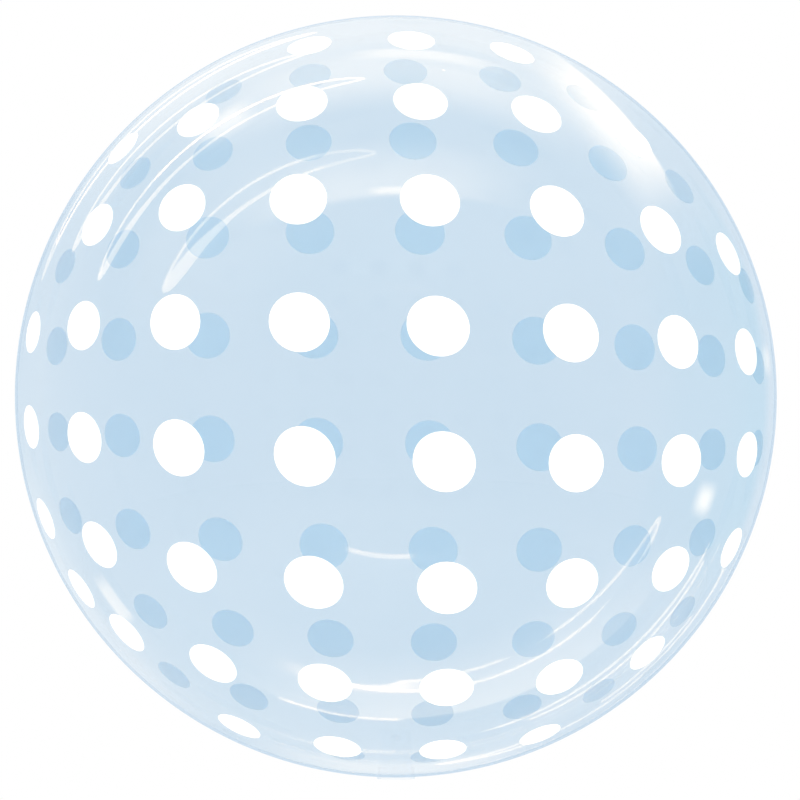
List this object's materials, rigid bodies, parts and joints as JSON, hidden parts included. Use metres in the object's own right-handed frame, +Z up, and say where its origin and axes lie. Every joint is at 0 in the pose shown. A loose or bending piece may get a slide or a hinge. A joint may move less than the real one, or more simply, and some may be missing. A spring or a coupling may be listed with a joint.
{
  "type": "clear bubble balloon",
  "caption": "Clear bubble balloon blown up to a ball: film panels printed with white dots, a welded rim, a flat neck tail that folds under the ball and a flat self-sealing valve inside.",
  "frame": {"origin": "foot of the welded rim, at the ball's lowest point, where the neck is tied or gripped", "axes": "+Z up through the ball's centre, -Y out through the middle of the front panel, +X to the right seen from the front; the weld lies in the XZ plane"},
  "size_m": [0.56, 0.556, 0.5623],
  "materials": {
    "film": "clear blue-tinted stretch film, glossy",
    "weld": "heat-welded film, pressed with a fine pattern",
    "valve_film": "thin clear film, slightly hazy",
    "print_ink": "opaque white printing ink on the outside of the film"
  },
  "bodies": {
    "ball": {"front_panel": "film", "back_panel": "film", "rim_weld": "weld", "valve_outer_ply": "valve_film", "valve_tack_weld": "weld"},
    "tail": {"tail_front_ply": "film", "tail_back_ply": "film", "tail_edge_weld_left": "weld", "tail_edge_weld_right": "weld"},
    "valve_flap": {"valve_inner_ply": "valve_film"}
  },
  "joints": [
    {"name": "tail_fold", "type": "hinge", "parent": "ball", "child": "tail", "pos_m": [0, 0, -0.0013], "axis": [-1, 0, 0], "range_deg": [0, 180]},
    {"name": "valve_flap", "type": "hinge", "parent": "ball", "child": "valve_flap", "pos_m": [0, 0.0025, 0.00514], "axis": [1, 0, 0], "range_deg": [0, 6], "stiffness_Nm_per_rad": 0.001}
  ]
}
